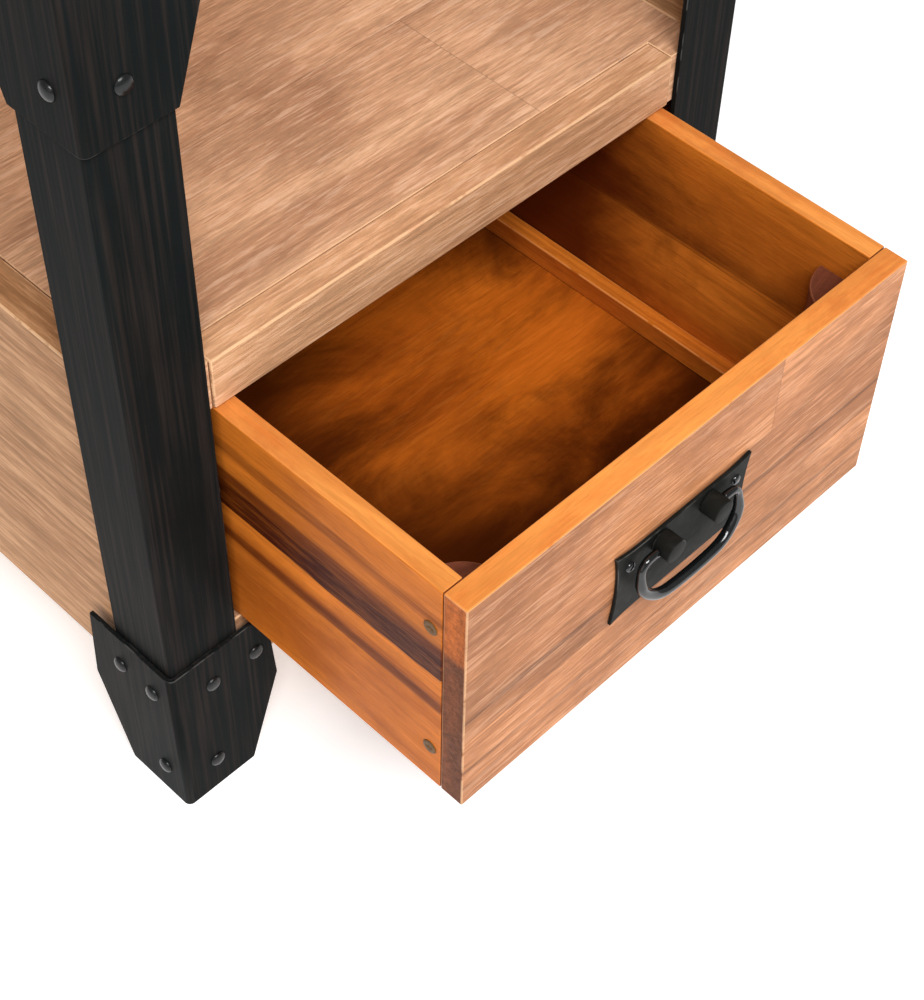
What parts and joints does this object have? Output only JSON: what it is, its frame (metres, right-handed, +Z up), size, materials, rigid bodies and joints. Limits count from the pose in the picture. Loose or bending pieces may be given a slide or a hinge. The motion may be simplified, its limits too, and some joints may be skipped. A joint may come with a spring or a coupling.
{
  "type": "side table with drawer",
  "caption": "Square wooden side table on angle-iron legs with riveted corner brackets, an open shelf bay and a pull-out drawer with a swinging bail.",
  "frame": {"origin": "on the floor, under the middle of the whole object's box with the drawer open as stored", "axes": "+Z up; +X to the right when facing the front; the front and the drawer face -Y"},
  "size_m": [0.4104, 0.5738, 0.593],
  "materials": {
    "black_iron": "satin black with faint brushed streaks",
    "pull_iron": "semi-gloss black",
    "tan_wood": "matte oiled wood with open grain",
    "orange_wood": "glossy varnished wood, streaked",
    "dark_wood": "varnished dark wood",
    "plain_wood": "bare planed wood",
    "screw_steel": "dull, stained by varnish"
  },
  "bodies": {
    "table": {"leg_front_left": "black_iron", "leg_front_right": "black_iron", "leg_rear_right": "black_iron", "leg_rear_left": "black_iron", "foot_bracket_front_left": "black_iron", "foot_bracket_front_right": "black_iron", "foot_bracket_rear_right": "black_iron", "foot_bracket_rear_left": "black_iron", "head_bracket_front_left": "black_iron", "head_bracket_front_right": "black_iron", "head_bracket_rear_right": "black_iron", "head_bracket_rear_left": "black_iron", "head_plate_front_left": "black_iron", "head_plate_front_right": "black_iron", "head_plate_rear_right": "black_iron", "head_plate_rear_left": "black_iron", "table_top": "tan_wood", "shelf_board": "tan_wood", "shelf_front_strip": "tan_wood", "case_side_left": "tan_wood", "case_side_right": "tan_wood", "front_rail": "tan_wood", "case_back": "plain_wood", "case_bottom": "plain_wood", "runner_left": "plain_wood", "runner_right": "plain_wood", "guide_left": "plain_wood", "guide_right": "plain_wood"},
    "drawer": {"drawer_front": "tan_wood", "drawer_side_left": "orange_wood", "drawer_side_right": "orange_wood", "drawer_back": "orange_wood", "drawer_cleat_left": "orange_wood", "drawer_cleat_right": "orange_wood", "drawer_bottom": "dark_wood", "corner_block_left": "dark_wood", "corner_block_right": "dark_wood", "side_screw_left_upper": "screw_steel", "side_screw_left_lower": "screw_steel", "side_screw_right_upper": "screw_steel", "side_screw_right_lower": "screw_steel", "handle_plate": "pull_iron", "handle_post_left": "pull_iron", "handle_post_right": "pull_iron", "handle_screw_left": "pull_iron", "handle_screw_right": "pull_iron"},
    "bail": {"bail": "pull_iron"}
  },
  "joints": [
    {"name": "drawer_slide", "type": "slide", "parent": "table", "child": "drawer", "axis": [0, -1, 0], "range_m": [-0.155, 0.095]},
    {"name": "bail_swing", "type": "hinge", "parent": "drawer", "child": "bail", "pos_m": [-0.008, -0.2798, 0.2117], "axis": [-1, 0, 0], "range_deg": [0, 170]}
  ]
}
